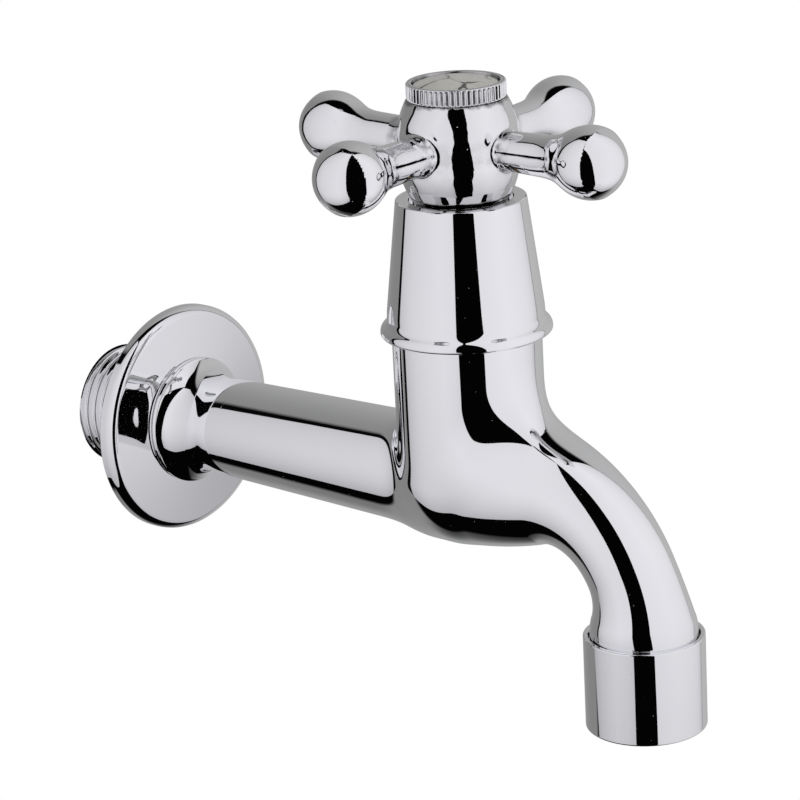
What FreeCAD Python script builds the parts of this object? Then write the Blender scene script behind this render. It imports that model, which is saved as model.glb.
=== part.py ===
import FreeCAD, Part
import math
import os

from FreeCAD import Vector

# A wall-mounted hose bib with a cross handle. Millimetres, +Z up.
# The origin is on the inlet axis in the wall plane. +X runs from the wall to the outlet, and the
# XZ plane is the symmetry plane of the casting. The spindle stands on the Z axis of SPINDLE_X.

# Driving dimensions of the casting
SPINDLE_X = 66.0
OUTLET_X = 99.6
NECK_R = 12.05
NECK_TOP = 26.0
BELLY_Z = 1.8
TUBE_R_AT_COLLAR = 8.3
TUBE_R_AT_SPINDLE = 9.5
COLLAR_R = 10.9
COLLAR_X = 3.6
TUBE_START_X = 9.5
CREASE_FILLET = 3.2
THROAT_FILLET = 8.0

# Inlet thread, G 1/2
INLET_R = 10.4775
INLET_PITCH = 1.814
INLET_DEPTH = 1.162
INLET_END_X = -15.3
INLET_RELIEF_X = 1.6
INLET_CHAMFER = 1.0
RELIEF_R = 9.2

# Belly and spout: a run to the shoulder, a bend that is a quarter of an ellipse, a flared end
BELLY_CENTRE_Z = 1.0
BELLY_R = 11.5
BELLY_TAPER = 2.2
SHOULDER_X = 79.6
SHOULDER_Z = 2.0
SHOULDER_R = 9.7
BEND_END_Z = -19.0
WAIST_TURN = 62.0
WAIST_R = 7.15
WAIST_TAPER = 2.3
OUTLET_R = 8.6
OUTLET_THREAD_R = 8.33
OUTLET_PITCH = 1.337
OUTLET_DEPTH = 0.856
OUTLET_THREAD_TOP = -20.6
OUTLET_THREAD_END = -27.2

# Waterway
INLET_BORE_R = 6.0
SEAT_FEED_R = 5.0
SEAT_FEED_X = 50.0
SEAT_HOLE_R = 4.6
SEAT_R = 5.6
SEAT_Z = 7.4
CHAMBER_FLOOR = 6.8
CHAMBER_R = 8.6
CHAMBER_TOP = 15.0
SPOUT_BORE_R = 3.7
SPOUT_BORE = [
    (70.0, 10.7),
    (75.3, 10.5),
    (83.0, 3.9),
    (90.3, -1.9),
    (96.0, -8.2),
    (99.6, -17.0),
    (99.6, -30.0),
]
OUTLET_BORE_R = 5.6
OUTLET_BORE_TOP = -21.0

# Valve travel and running fits
LIFT = 5.2
LEAD = 2.0
RUNNING = 0.05
THREAD_GAP = 0.03

# Headwork
BONNET_BOTTOM = 15.2
BONNET_THREAD_R = 10.4775
BONNET_FLANGE_R = 11.2
BONNET_WASHER_Z = 0.8
BONNET_HEX = 17.0
BONNET_HEX_Z = (28.9, 34.5)
BONNET_BARREL_R = 8.2
BONNET_SHOULDER_Z = 42.4
BONNET_TOP = 46.0
SHROUD_THREAD_R = 7.0
PISTON_HEX = 12.0
PISTON_CUP_R = 6.35
SEAT_WASHER_R = 6.3
SEAT_WASHER_THICK = 2.8
STUD_R = 1.5
STUD_CLEAR = 0.02
WASHER_NUT_HEX = 5.5
WASHER_NUT_THICK = 1.8
PISTON_FLANGE_R = 7.2
PISTON_FLANGE_TOP = SEAT_Z + 4.3
PISTON_TOP = SEAT_Z + 15.9
COLLAR_Z = (PISTON_TOP + LIFT + 0.3, PISTON_TOP + LIFT + 1.8)
SOCKET_TOP = COLLAR_Z[1] + 0.6

# Spindle
SPINDLE_R = 4.5
SPINDLE_THREAD_R = 3.98
SPINDLE_BOTTOM = SEAT_Z + 10.2
SPINDLE_TOP = 57.8
SPLINE_Z = 47.2
SPLINE_R = 4.0
SPLINE_ROOT_R = 3.6
SPLINE_TEETH = 20
RING_GROOVES = (35.0, 38.5)
RING_WIRE = 1.24
RING_GROOVE_R = 3.3
CLIP_Z = 46.15
CLIP_THICK = 0.6
CLIP_R = 5.9
CLIP_GROOVE_R = 3.5
CLIP_GAP = 5.0
SCREW_HOLE_R = 2.0

# Shroud
LIP_BOTTOM = 25.35
LIP_R = 13.8
CONE_Z = 28.4
CONE_R = 12.6
SHROUD_TOP = 47.45
SHROUD_TOP_R = 10.45
SHROUD_MOUTH_R = 8.35
SHROUD_WALL = 0.9
SHROUD_SEAT_TOP = 45.4

# Handle
HUB_BOTTOM = 46.9
HUB_TOP = 63.45
ARM_Z = 56.0
ARM_R = 3.1
ARM_R_AT_BALL = 3.4
ARM_FILLET = 5.0
BALL_R = 5.65
BALL_REACH = 26.15
CAP_SOCKET_R = 6.2
CAP_SOCKET_FLOOR = 59.4
SPLINE_SOCKET_TOP = 58.1
CLIP_ROOM_R = 6.3
SCREW_SHANK_R = 1.97
SCREW_HEAD_R = 3.7
SCREW_WASHER_R = 4.2
SCREW_WASHER_THICK = 0.7

# Index cap
KNURL_R = 7.9
KNURL_DEPTH = 0.35
KNURL_TEETH = 56
KNURL_Z = (63.5, 66.17)
DISC_R = 6.7
DISC_FLOOR = 64.5
DISC_EDGE_Z = 65.75
DISC_RISE = 1.1
DISC_EDGE_R = 0.2
CAP_BORE_R = 4.9

# Wall flange
FLANGE_R = 19.72
FLANGE_RIM = 2.75
FLANGE_RIM_R = 1.7
FLANGE_WALL = 0.9
FLANGE_HOLE_R = 10.6

# Aerator
SLEEVE_R = 9.67
SLEEVE_TOP = -19.15
SLEEVE_BOTTOM = -34.56
SLEEVE_MOUTH_R = 8.75
SLEEVE_LIP_R = 7.4
SLEEVE_LIP_TOP = -33.4
CORE_R = 8.2
CORE_TOP = -28.9
CORE_WAIST_R = 7.5
CORE_BORE_R = 6.9
CORE_CLEAR = 0.03
GAUZE_THICK = 0.3


def run(start, *steps):
    """A closed wire in the XZ plane. A step is a point, or an arc as (middle, end)."""
    edges = []
    here = Vector(start[0], 0, start[1])
    for step in list(steps) + [start]:
        if isinstance(step[0], tuple):
            middle = Vector(step[0][0], 0, step[0][1])
            there = Vector(step[1][0], 0, step[1][1])
            edges.append(Part.Arc(here, middle, there).toShape())
        else:
            there = Vector(step[0], 0, step[1])
            if there.distanceToPoint(here) < 1e-6:
                continue
            edges.append(Part.LineSegment(here, there).toShape())
        here = there
    return Part.Wire(edges)


def turned(axis_x, start, *steps):
    """Revolves an outline of (radius, z) points about the vertical axis at axis_x."""
    shape = Part.Face(run(start, *steps)).revolve(Vector(), Vector(0, 0, 1), 360)
    shape.translate(Vector(axis_x, 0, 0))
    return shape


def turned_on_x(start, *steps):
    """Revolves an outline of (x, radius) points about the inlet axis."""
    return Part.Face(run(start, *steps)).revolve(Vector(), Vector(1, 0, 0), 360)


def dome(radius, low, high):
    """The arc step from (radius, low) to the axis at high, on a sphere centred on the axis."""
    rise = high - low
    ball_r = (radius * radius + rise * rise) / (2 * rise)
    half = radius / 2
    return ((half, high - ball_r + math.sqrt(ball_r * ball_r - half * half)), (0, high))


def rod(axis_x, radius, low, high):
    return Part.makeCylinder(radius, high - low, Vector(axis_x, 0, low))


def tube(axis_x, inner, outer, low, high):
    return rod(axis_x, outer, low, high).cut(rod(axis_x, inner, low - 1, high + 1))


def hexagon(axis_x, across_flats, low, high):
    corner_r = across_flats / math.sqrt(3)
    corners = [
        Vector(corner_r * math.cos(math.radians(60 * i)), corner_r * math.sin(math.radians(60 * i)), 0)
        for i in range(7)
    ]
    prism = Part.Face(Part.makePolygon(corners)).extrude(Vector(0, 0, high - low))
    prism.translate(Vector(axis_x, 0, low))
    return prism


def star(tip_r, root_r, teeth, low, high):
    """A prism about the Z axis with straight teeth of trapezoid section."""
    shares = [(tip_r, -0.14), (tip_r, 0.14), (root_r, 0.36), (root_r, 0.64)]
    corners = []
    for tooth in range(teeth):
        for radius, share in shares:
            angle = 2 * math.pi * (tooth + share) / teeth
            corners.append(Vector(radius * math.cos(angle), radius * math.sin(angle), 0))
    corners.append(corners[0])
    prism = Part.Face(Part.makePolygon(corners)).extrude(Vector(0, 0, high - low))
    prism.translate(Vector(0, 0, low))
    return prism


def thread_groove(major_r, depth, pitch, length):
    """The helical groove of a right-hand male thread about the Z axis, from z = 0 up to length."""
    half_land = 0.12 * pitch
    half_root = 0.08 * pitch
    clear = 0.35
    half_mouth = 0.5 * pitch - half_land
    half_outer = half_root + (half_mouth - half_root) * (depth + clear) / depth
    root_r = major_r - depth
    outer_r = major_r + clear
    profile = Part.makePolygon([
        Vector(root_r, 0, -half_root),
        Vector(outer_r, 0, -half_outer),
        Vector(outer_r, 0, half_outer),
        Vector(root_r, 0, half_root),
        Vector(root_r, 0, -half_root),
    ])
    helix = Part.makeHelix(pitch, length, root_r)
    return Part.Wire(helix.Edges).makePipeShell([profile], True, True)


def along_x(shape, x):
    """Lays a shape made about +Z along the inlet axis, its base at x and its top towards the wall."""
    shape.rotate(Vector(), Vector(0, 1, 0), -90)
    shape.translate(Vector(x, 0, 0))
    return shape


def section_circle(point, tangent, radius):
    return Part.Wire(Part.Circle(point, tangent, radius).toShape())


def round_loft(stations):
    """A smooth solid through round sections in the XZ plane, each square to the centre line."""
    centres = [Vector(x, 0, z) for x, z, radius in stations]
    wires = []
    last = len(centres) - 1
    for i, station in enumerate(stations):
        tangent = centres[min(i + 1, last)] - centres[max(i - 1, 0)]
        if i == 0:
            tangent = Vector(1, 0, 0)
        if i == last:
            tangent = Vector(0, 0, -1)
        wires.append(section_circle(centres[i], tangent, station[2]))
    return Part.makeLoft(wires, True, False)


def bent_bore(points, radius):
    """A round channel in the XZ plane: straight runs joined by tangent arcs."""
    corners = [Vector(x, 0, z) for x, z in points]
    edges = []
    here = corners[0]
    for i in range(1, len(corners) - 1):
        before = corners[i] - corners[i - 1]
        after = corners[i + 1] - corners[i]
        turn = before.getAngle(after)
        short = min(before.Length, after.Length)
        reach = 0.45 * short
        start = corners[i] - before.normalize() * reach
        end = corners[i] + after.normalize() * reach
        inward = (after - before).normalize()
        bend_r = reach / math.tan(turn / 2)
        middle = corners[i] + inward * (bend_r / math.cos(turn / 2) - bend_r)
        edges.append(Part.LineSegment(here, start).toShape())
        edges.append(Part.Arc(start, middle, end).toShape())
        here = end
    edges.append(Part.LineSegment(here, corners[-1]).toShape())
    first = edges[0]
    mouth = section_circle(corners[0], first.tangentAt(first.FirstParameter), radius)
    return Part.Wire(edges).makePipeShell([mouth], True, False)


def body():
    """The chromed brass casting: threaded inlet, collar, tube, neck, belly and spout."""
    inlet = turned_on_x(
        (INLET_END_X, 0),
        (INLET_END_X, INLET_R - INLET_CHAMFER),
        (INLET_END_X + INLET_CHAMFER, INLET_R),
        (INLET_RELIEF_X, INLET_R),
        (INLET_RELIEF_X + 0.5, RELIEF_R),
        (COLLAR_X, RELIEF_R),
        (COLLAR_X, COLLAR_R - 0.5),
        ((COLLAR_X + 0.15, COLLAR_R - 0.15), (COLLAR_X + 0.5, COLLAR_R)),
        ((COLLAR_X + 1.0, COLLAR_R - 0.2), (COLLAR_X + 1.3, COLLAR_R - 0.7)),
        ((COLLAR_X + 2.6, COLLAR_R - 1.95), (TUBE_START_X, TUBE_R_AT_COLLAR)),
        (SPINDLE_X, TUBE_R_AT_SPINDLE),
        (SPINDLE_X, 0),
    )
    half_r = NECK_R * math.sqrt(0.5)
    neck = turned(
        SPINDLE_X,
        (0, BELLY_Z - NECK_R),
        ((half_r, BELLY_Z - half_r), (NECK_R, BELLY_Z)),
        (NECK_R, NECK_TOP),
        (0, NECK_TOP),
    )
    outlet = rod(OUTLET_X, OUTLET_THREAD_R, OUTLET_THREAD_END, OUTLET_THREAD_TOP)
    outlet = outlet.fuse(turned(
        OUTLET_X,
        (0, BEND_END_Z),
        (0, OUTLET_THREAD_TOP),
        (OUTLET_THREAD_R - OUTLET_DEPTH, OUTLET_THREAD_TOP),
        (OUTLET_THREAD_R - OUTLET_DEPTH, BEND_END_Z - 1.0),
        (OUTLET_R, BEND_END_Z),
    ))
    sections = [belly_section(share) for share in (0.0, 0.5)]
    sections += [bend_section(degrees) for degrees in (0, 20, 40, WAIST_TURN, 78, 90)]
    shell = neck.fuse(round_loft(sections))
    throat = [e for e in shell.Edges if on_spout_throat(e)]
    shell = shell.makeFillet(THROAT_FILLET, throat)
    shell = shell.fuse(inlet)
    crease = [e for e in shell.Edges if on_tube_crease(e)]
    shell = shell.makeFillet(CREASE_FILLET, crease)
    shell = shell.fuse(outlet)
    shell = shell.cut(waterway())
    groove = along_x(thread_groove(INLET_R, INLET_DEPTH, INLET_PITCH, 20.0), INLET_RELIEF_X + 0.9)
    shell = shell.cut(groove)
    outlet_groove = thread_groove(OUTLET_THREAD_R, OUTLET_DEPTH, OUTLET_PITCH, 8.6)
    outlet_groove.translate(Vector(OUTLET_X, 0, OUTLET_THREAD_END - 1.6))
    return shell.cut(outlet_groove)


def belly_section(share):
    """Centre (x, z) and radius on the run from the spindle axis to the shoulder."""
    return (
        SPINDLE_X + (SHOULDER_X - SPINDLE_X) * share,
        SHOULDER_Z - (SHOULDER_Z - BELLY_CENTRE_Z) * (1 - share) ** 2,
        BELLY_R - (BELLY_R - SHOULDER_R) * share ** BELLY_TAPER,
    )


def bend_section(degrees):
    """Centre (x, z) and radius at a turn of 0 to 90 degrees round the bend."""
    turn = math.radians(degrees)
    before_waist = max(0.0, 1 - degrees / WAIST_TURN)
    after_waist = max(0.0, (degrees - WAIST_TURN) / (90 - WAIST_TURN))
    return (
        SHOULDER_X + (OUTLET_X - SHOULDER_X) * math.sin(turn),
        BEND_END_Z + (SHOULDER_Z - BEND_END_Z) * math.cos(turn),
        WAIST_R + (SHOULDER_R - WAIST_R) * before_waist ** WAIST_TAPER
        + (OUTLET_R - WAIST_R) * after_waist ** 2,
    )


def on_spout_throat(edge):
    """True for the edges where the top of the spout runs into the neck."""
    box = edge.BoundBox
    inside = SPINDLE_X + 2 < box.XMin and box.XMax < SPINDLE_X + NECK_R + 0.5
    return inside and box.ZLength > 2 and box.YLength > 2 and 0 < box.ZMin and box.ZMax < NECK_TOP - 2


def on_tube_crease(edge):
    """True for the edges where the tube runs into the neck."""
    box = edge.BoundBox
    inside = SPINDLE_X - NECK_R - 1 < box.XMin and box.XMax < SPINDLE_X - 1
    return inside and box.ZLength > 2 and box.YLength > 2


def waterway():
    """The space that the casting leaves for the water, the valve and the headwork."""
    inlet_bore = along_x(Part.makeCylinder(INLET_BORE_R, SEAT_FEED_X + 20), SEAT_FEED_X)
    feed_bore = along_x(Part.makeCylinder(SEAT_FEED_R, SPINDLE_X - SEAT_FEED_X + 1), SPINDLE_X)
    feed_end = Part.makeSphere(SEAT_FEED_R, Vector(SPINDLE_X, 0, 0))
    seat_hole = rod(SPINDLE_X, SEAT_HOLE_R, 0, SEAT_Z + 1)
    moat = tube(SPINDLE_X, SEAT_R, CHAMBER_R, CHAMBER_FLOOR, SEAT_Z)
    chamber = rod(SPINDLE_X, CHAMBER_R, SEAT_Z, CHAMBER_TOP)
    neck_bore = rod(SPINDLE_X, BONNET_THREAD_R + THREAD_GAP, CHAMBER_TOP, NECK_TOP + 1)
    spout_bore = bent_bore(SPOUT_BORE, SPOUT_BORE_R)
    outlet_bore = rod(OUTLET_X, OUTLET_BORE_R, OUTLET_THREAD_END - 1, OUTLET_BORE_TOP)
    space = inlet_bore
    for piece in (feed_bore, feed_end, seat_hole, moat, chamber, neck_bore, spout_bore, outlet_bore):
        space = space.fuse(piece)
    return space


def wall_flange():
    """The stamped rosette that covers the hole in the wall, hollow behind."""
    hub_x = COLLAR_X - RUNNING
    turn_r = FLANGE_RIM_R * (1 - math.sqrt(0.5))
    return turned_on_x(
        (0, FLANGE_R),
        (FLANGE_RIM - FLANGE_RIM_R, FLANGE_R),
        ((FLANGE_RIM - turn_r, FLANGE_R - turn_r), (FLANGE_RIM, FLANGE_R - FLANGE_RIM_R)),
        (hub_x, FLANGE_HOLE_R),
        (hub_x - FLANGE_WALL, FLANGE_HOLE_R),
        (FLANGE_RIM - FLANGE_WALL, FLANGE_R - FLANGE_WALL - 0.4),
        (0, FLANGE_R - FLANGE_WALL),
    )


def bonnet():
    """The brass headwork housing, screwed into the neck."""
    seat = NECK_TOP + BONNET_WASHER_Z
    blank = turned(
        SPINDLE_X,
        (0, BONNET_BOTTOM),
        (BONNET_THREAD_R - 0.8, BONNET_BOTTOM),
        (BONNET_THREAD_R, BONNET_BOTTOM + 0.8),
        (BONNET_THREAD_R, seat - 2.0),
        (BONNET_THREAD_R - 1.2, seat - 1.6),
        (BONNET_THREAD_R - 1.2, seat),
        (BONNET_FLANGE_R, seat),
        (BONNET_FLANGE_R, BONNET_HEX_Z[0]),
        (BONNET_BARREL_R, BONNET_HEX_Z[0]),
        (BONNET_BARREL_R, BONNET_SHOULDER_Z),
        (SHROUD_THREAD_R, BONNET_SHOULDER_Z),
        (SHROUD_THREAD_R, BONNET_TOP - 0.5),
        (SHROUD_THREAD_R - 0.5, BONNET_TOP),
        (0, BONNET_TOP),
    )
    nut = hexagon(SPINDLE_X, BONNET_HEX, *BONNET_HEX_Z)
    chamfer = turned(
        SPINDLE_X,
        (0, BONNET_HEX_Z[0] - 1),
        (BONNET_HEX, BONNET_HEX_Z[0] - 1),
        (BONNET_HEX / 2 + 0.3, BONNET_HEX_Z[1]),
        (0, BONNET_HEX_Z[1]),
    )
    blank = blank.fuse(nut.common(chamfer))
    groove = thread_groove(BONNET_THREAD_R, INLET_DEPTH, INLET_PITCH, seat - BONNET_BOTTOM)
    groove.translate(Vector(SPINDLE_X, 0, BONNET_BOTTOM - 1.8))
    blank = blank.cut(groove)
    mouth = rod(SPINDLE_X, PISTON_FLANGE_R + 0.3, BONNET_BOTTOM - 1, PISTON_FLANGE_TOP + LIFT + 0.4)
    socket = hexagon(SPINDLE_X, PISTON_HEX + 2 * RUNNING, BONNET_BOTTOM, SOCKET_TOP)
    bore = rod(SPINDLE_X, SPINDLE_R + RUNNING, SOCKET_TOP - 1, BONNET_TOP + 1)
    return blank.cut(mouth.fuse(socket).fuse(bore))


def bonnet_washer():
    top = NECK_TOP + BONNET_WASHER_Z
    return tube(SPINDLE_X, BONNET_THREAD_R + 0.1, BONNET_FLANGE_R + 0.3, NECK_TOP, top)


def shroud():
    """The conical cover with a rolled lip that hides the headwork."""
    inner_lip_r = NECK_R + 0.12
    return turned(
        SPINDLE_X,
        (inner_lip_r, LIP_BOTTOM),
        (LIP_R - 0.4, LIP_BOTTOM),
        ((LIP_R - 0.1, LIP_BOTTOM + 0.13), (LIP_R, LIP_BOTTOM + 0.45)),
        ((LIP_R, LIP_BOTTOM + 0.85), (LIP_R - 0.2, LIP_BOTTOM + 1.3)),
        ((CONE_R + 0.25, CONE_Z - 0.95), (CONE_R, CONE_Z)),
        (SHROUD_TOP_R, SHROUD_TOP - 0.3),
        ((SHROUD_TOP_R - 0.1, SHROUD_TOP - 0.08), (SHROUD_TOP_R - 0.3, SHROUD_TOP)),
        (SHROUD_MOUTH_R, SHROUD_TOP),
        (SHROUD_MOUTH_R, SHROUD_SEAT_TOP),
        (SHROUD_THREAD_R + THREAD_GAP, SHROUD_SEAT_TOP),
        (SHROUD_THREAD_R + THREAD_GAP, BONNET_SHOULDER_Z + 0.02),
        (SHROUD_TOP_R - 0.3, BONNET_SHOULDER_Z + 0.02),
        (CONE_R - SHROUD_WALL, CONE_Z + 0.6),
        (inner_lip_r, NECK_TOP + 0.6),
    )


def spindle():
    """The turned spindle: left-hand screw, thrust collar, sealing rings' grooves and spline."""
    groove_half = RING_WIRE / 2 + 0.2
    low, high = RING_GROOVES
    blank = turned(
        0,
        (0, SPINDLE_BOTTOM),
        (SPINDLE_THREAD_R - 0.6, SPINDLE_BOTTOM),
        (SPINDLE_THREAD_R, SPINDLE_BOTTOM + 0.6),
        (SPINDLE_THREAD_R, COLLAR_Z[0] - 1.2),
        (SPINDLE_THREAD_R - 0.9, COLLAR_Z[0] - 0.9),
        (SPINDLE_THREAD_R - 0.9, COLLAR_Z[0]),
        (PISTON_HEX / 2 - 0.4, COLLAR_Z[0]),
        (PISTON_HEX / 2 - 0.4, COLLAR_Z[1]),
        (SPINDLE_R, COLLAR_Z[1]),
        (SPINDLE_R, low - groove_half),
        (RING_GROOVE_R, low - groove_half),
        (RING_GROOVE_R, low + groove_half),
        (SPINDLE_R, low + groove_half),
        (SPINDLE_R, high - groove_half),
        (RING_GROOVE_R, high - groove_half),
        (RING_GROOVE_R, high + groove_half),
        (SPINDLE_R, high + groove_half),
        (SPINDLE_R, CLIP_Z - 0.05),
        (CLIP_GROOVE_R, CLIP_Z - 0.05),
        (CLIP_GROOVE_R, CLIP_Z + CLIP_THICK + 0.05),
        (SPLINE_R, CLIP_Z + CLIP_THICK + 0.05),
        (SPLINE_R, SPINDLE_TOP - 0.4),
        (SPLINE_R - 0.4, SPINDLE_TOP),
        (0, SPINDLE_TOP),
    )
    gaps = tube(0, 0.01, SPLINE_R + 1, SPLINE_Z, SPINDLE_TOP + 1)
    gaps = gaps.cut(star(SPLINE_R, SPLINE_ROOT_R, SPLINE_TEETH, SPLINE_Z, SPINDLE_TOP + 1))
    blank = blank.cut(gaps)
    groove = thread_groove(SPINDLE_THREAD_R, 0.8, LEAD, COLLAR_Z[0] - SPINDLE_BOTTOM + 1.0)
    groove.translate(Vector(0, 0, SPINDLE_BOTTOM - 1.6))
    left_hand = groove.mirror(Vector(), Vector(0, 1, 0))
    blank = blank.cut(left_hand)
    blank = blank.cut(rod(0, SCREW_HOLE_R, SPINDLE_TOP - 9.0, SPINDLE_TOP + 1))
    blank.translate(Vector(SPINDLE_X, 0, 0))
    return blank


def spindle_o_rings():
    wire_r = RING_WIRE / 2
    mean_r = RING_GROOVE_R + wire_r + 0.005
    rings = [Part.makeTorus(mean_r, wire_r, Vector(SPINDLE_X, 0, z)) for z in RING_GROOVES]
    return Part.makeCompound(rings)


def thrust_washer():
    return tube(SPINDLE_X, SPINDLE_R + 0.1, PISTON_HEX / 2 - 0.05, COLLAR_Z[1] + 0.04, SOCKET_TOP - 0.04)


def spindle_clip():
    """The open retaining ring that holds the spindle down in the bonnet."""
    ring = tube(SPINDLE_X, CLIP_GROOVE_R + 0.02, CLIP_R, CLIP_Z, CLIP_Z + CLIP_THICK)
    slot = Part.makeBox(8, CLIP_GAP, 2, Vector(SPINDLE_X, -CLIP_GAP / 2, CLIP_Z - 0.5))
    return ring.cut(slot)


def valve_piston():
    """The carriage that slides in the bonnet's hexagon and carries the seat washer."""
    cup_floor = SEAT_Z + SEAT_WASHER_THICK
    blank = rod(SPINDLE_X, PISTON_FLANGE_R, SEAT_Z + 1.4, PISTON_FLANGE_TOP)
    blank = blank.fuse(hexagon(SPINDLE_X, PISTON_HEX, PISTON_FLANGE_TOP - 0.5, PISTON_TOP))
    blank = blank.cut(rod(SPINDLE_X, PISTON_CUP_R, SEAT_Z, cup_floor))
    bore_bottom = SPINDLE_BOTTOM - LIFT - 0.3
    blank = blank.cut(rod(SPINDLE_X, SPINDLE_THREAD_R + RUNNING, bore_bottom, PISTON_TOP + 1))
    stud = rod(SPINDLE_X, STUD_R, SEAT_Z - WASHER_NUT_THICK - 0.6, cup_floor + 0.5)
    return blank.fuse(stud)


def seat_washer():
    top = SEAT_Z + SEAT_WASHER_THICK - STUD_CLEAR
    ring = tube(SPINDLE_X, STUD_R + STUD_CLEAR, SEAT_WASHER_R, SEAT_Z + STUD_CLEAR, top)
    rims = [e for e in ring.Edges if abs(e.BoundBox.XLength - 2 * SEAT_WASHER_R) < 0.1]
    return ring.makeFillet(0.4, rims)


def washer_nut():
    nut = hexagon(SPINDLE_X, WASHER_NUT_HEX, SEAT_Z - WASHER_NUT_THICK, SEAT_Z)
    return nut.cut(rod(SPINDLE_X, STUD_R + STUD_CLEAR, SEAT_Z - 3, SEAT_Z + 1))


def handle_blank():
    """The hub and its four arms with ball ends, about the Z axis."""
    hub = turned(
        0,
        (0, HUB_BOTTOM),
        (7.3, HUB_BOTTOM),
        (7.65, 47.7),
        ((8.9, 49.6), (9.72, 54.2)),
        ((9.74, 57.6), (8.9, 61.9)),
        ((8.35, 62.9), (7.6, HUB_TOP)),
        (0, HUB_TOP),
    )
    fillet_z = ARM_R_AT_BALL + ARM_FILLET
    fillet_x = BALL_REACH - math.sqrt((BALL_R + ARM_FILLET) ** 2 - fillet_z ** 2)
    slope = math.atan2(fillet_z, BALL_REACH - fillet_x)
    ball_side = (BALL_REACH - BALL_R * math.cos(slope), BALL_R * math.sin(slope))
    half_turn = (math.pi / 2 + slope) / 2
    fillet_side = (fillet_x + ARM_FILLET * math.cos(half_turn), fillet_z - ARM_FILLET * math.sin(half_turn))
    arm = turned_on_x(
        (0, 0),
        (0, ARM_R),
        (9.0, ARM_R),
        (fillet_x, ARM_R_AT_BALL),
        (fillet_side, ball_side),
        ((BALL_REACH, BALL_R), (BALL_REACH + BALL_R, 0)),
    )
    arm.translate(Vector(0, 0, ARM_Z))
    blank = hub
    for quarter in range(4):
        turned_arm = arm.copy()
        turned_arm.rotate(Vector(), Vector(0, 0, 1), 90 * quarter)
        blank = blank.fuse(turned_arm)
    return blank.removeSplitter()


def handle():
    """The cast cross handle with its splined socket and the seat of the index cap."""
    tip_r = SPLINE_R + THREAD_GAP
    root_r = SPLINE_ROOT_R + THREAD_GAP
    spline = star(tip_r, root_r, SPLINE_TEETH, SPLINE_Z - 1, SPLINE_SOCKET_TOP)
    clip_room = rod(0, CLIP_ROOM_R, HUB_BOTTOM - 1, HUB_BOTTOM + 1.0)
    screw_hole = rod(0, 2.2, SPLINE_SOCKET_TOP - 1, HUB_TOP)
    cap_socket = rod(0, CAP_SOCKET_R, CAP_SOCKET_FLOOR, HUB_TOP + 1)
    shape = handle_blank()
    for space in (spline, clip_room, screw_hole, cap_socket):
        shape = shape.cut(space)
    shape.translate(Vector(SPINDLE_X, 0, 0))
    return shape


def screw_washer():
    return tube(
        SPINDLE_X,
        SCREW_SHANK_R + 0.13,
        SCREW_WASHER_R,
        CAP_SOCKET_FLOOR,
        CAP_SOCKET_FLOOR + SCREW_WASHER_THICK,
    )


def handle_screw():
    """A pan-head screw with a cross recess."""
    head_z = CAP_SOCKET_FLOOR + SCREW_WASHER_THICK
    screw = turned(
        SPINDLE_X,
        (0, SPINDLE_TOP - 7.0),
        (SCREW_SHANK_R - 0.47, SPINDLE_TOP - 7.0),
        (SCREW_SHANK_R, SPINDLE_TOP - 6.5),
        (SCREW_SHANK_R, head_z),
        (SCREW_HEAD_R, head_z),
        ((SCREW_HEAD_R - 0.25, head_z + 1.3), (SCREW_HEAD_R - 1.3, head_z + 1.9)),
        dome(SCREW_HEAD_R - 1.3, head_z + 1.9, head_z + 2.15),
    )
    for angle in (0, 90):
        blade = Part.makeBox(4.0, 0.9, 2.0, Vector(-2.0, -0.45, 0))
        blade.rotate(Vector(), Vector(0, 0, 1), angle)
        blade.translate(Vector(SPINDLE_X, 0, head_z + 0.9))
        screw = screw.cut(blade)
    return screw


def index_ring():
    """The knurled cap ring that screws into the top of the hub."""
    ring = star(KNURL_R, KNURL_R - KNURL_DEPTH, KNURL_TEETH, *KNURL_Z)
    rim_r = KNURL_R - KNURL_DEPTH * 0.6
    bevel = turned(
        0,
        (0, KNURL_Z[0]),
        (rim_r, KNURL_Z[0]),
        (KNURL_R + 0.2, KNURL_Z[0] + 0.4),
        (KNURL_R + 0.2, KNURL_Z[1] - 0.4),
        (rim_r, KNURL_Z[1]),
        (0, KNURL_Z[1]),
    )
    ring = ring.common(bevel)
    ring = ring.fuse(rod(0, CAP_SOCKET_R - 0.03, CAP_SOCKET_FLOOR + 0.3, KNURL_Z[0] + 0.2))
    ring = ring.cut(rod(0, DISC_R + 0.12, DISC_FLOOR, KNURL_Z[1] + 1))
    ring = ring.cut(rod(0, CAP_BORE_R, CAP_SOCKET_FLOOR, DISC_FLOOR + 1))
    ring.translate(Vector(SPINDLE_X, 0, 0))
    return ring


def index_disc():
    """The shallow domed enamel disc in the cap ring."""
    turn_r = DISC_EDGE_R * (1 - math.sqrt(0.5))
    return turned(
        SPINDLE_X,
        (0, DISC_FLOOR),
        (DISC_R, DISC_FLOOR),
        (DISC_R, DISC_EDGE_Z - DISC_EDGE_R),
        ((DISC_R - turn_r, DISC_EDGE_Z - turn_r), (DISC_R - DISC_EDGE_R, DISC_EDGE_Z)),
        dome(DISC_R - DISC_EDGE_R, DISC_EDGE_Z, DISC_EDGE_Z + DISC_RISE),
    )


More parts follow.
